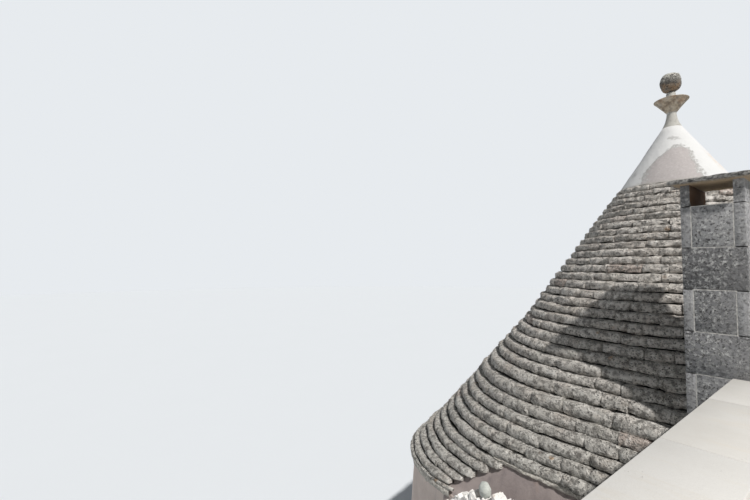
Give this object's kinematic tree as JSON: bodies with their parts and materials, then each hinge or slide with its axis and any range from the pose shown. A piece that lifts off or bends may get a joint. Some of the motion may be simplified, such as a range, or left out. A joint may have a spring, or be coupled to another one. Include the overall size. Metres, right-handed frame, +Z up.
{
  "type": "trullo house with a flat-roofed wing",
  "caption": "Stone house with a slated conical roof, plaster tip and ball finial, a thin slab chimney and an attached flat-roofed wing under a walled terrace.",
  "frame": {"origin": "on the axis of the cone at ground level, at the underside of the floor of the round-cornered room", "axes": "+Z up; -X is the door side of the trullo; -Y is the side on which the wing stands; X and Y run square to the walls"},
  "size_m": [7.915, 10.3, 7.425],
  "materials": {
    "roof_slab": "rough split limestone slabs with grey and black lichen",
    "wall_stone": "dry-stone wall under a pinkish grey lime render",
    "grey_render": "smooth trowelled mortar, pinkish grey",
    "white_rubble": "whitewashed rubble",
    "white_plaster": "lime plaster with grey weather stains",
    "cream_stone": "honed soft limestone",
    "weathered_stone": "pitted dark grey stone with pale lichen",
    "tufa": "sawn grey tufa slabs, pitted",
    "dressed_stone": "honed pale limestone",
    "paving_stone": "honed limestone slabs",
    "lime_plaster": "trowelled lime plaster, light beige",
    "timber": "oiled planks",
    "pane": "clear"
  },
  "bodies": {
    "root": {"back_wall": "wall_stone", "chimney_cap": "tufa", "chimney_shaft": "tufa", "chimney_sides": "tufa", "closing_slab": "wall_stone", "corbelled_dome": "wall_stone", "door_leaves": "timber", "door_surround": "dressed_stone", "door_wall_left": "wall_stone", "door_wall_right": "wall_stone", "finial_ball": "weathered_stone", "finial_dish": "cream_stone", "finial_neck": "cream_stone", "finial_pad": "cream_stone", "front_wall_left": "wall_stone", "front_wall_right": "wall_stone", "hearth_back": "wall_stone", "hearth_breast": "wall_stone", "plaster_tip": "white_plaster", "rendered_bed": "grey_render", "right_wall": "wall_stone", "roof_courses_1": "roof_slab", "roof_courses_2": "roof_slab", "roof_courses_3": "roof_slab", "roof_courses_4": "roof_slab", "roof_courses_5": "roof_slab", "roof_courses_6": "roof_slab", "rubble_facing": "white_rubble", "terrace_coping": "dressed_stone", "terrace_parapet": "lime_plaster", "terrace_paving": "paving_stone", "trullo_floor": "paving_stone", "wall_over_door": "wall_stone", "window_frame": "timber", "window_glass": "pane", "window_sill_stone": "dressed_stone", "wing_back_wall": "lime_plaster", "wing_door_surround": "dressed_stone", "wing_floor": "paving_stone", "wing_front_wall_left": "lime_plaster", "wing_front_wall_right": "lime_plaster", "wing_left_wall": "lime_plaster", "wing_right_wall": "lime_plaster", "wing_roof_slab": "lime_plaster", "wing_wall_over_door": "lime_plaster"}
  },
  "joints": []
}
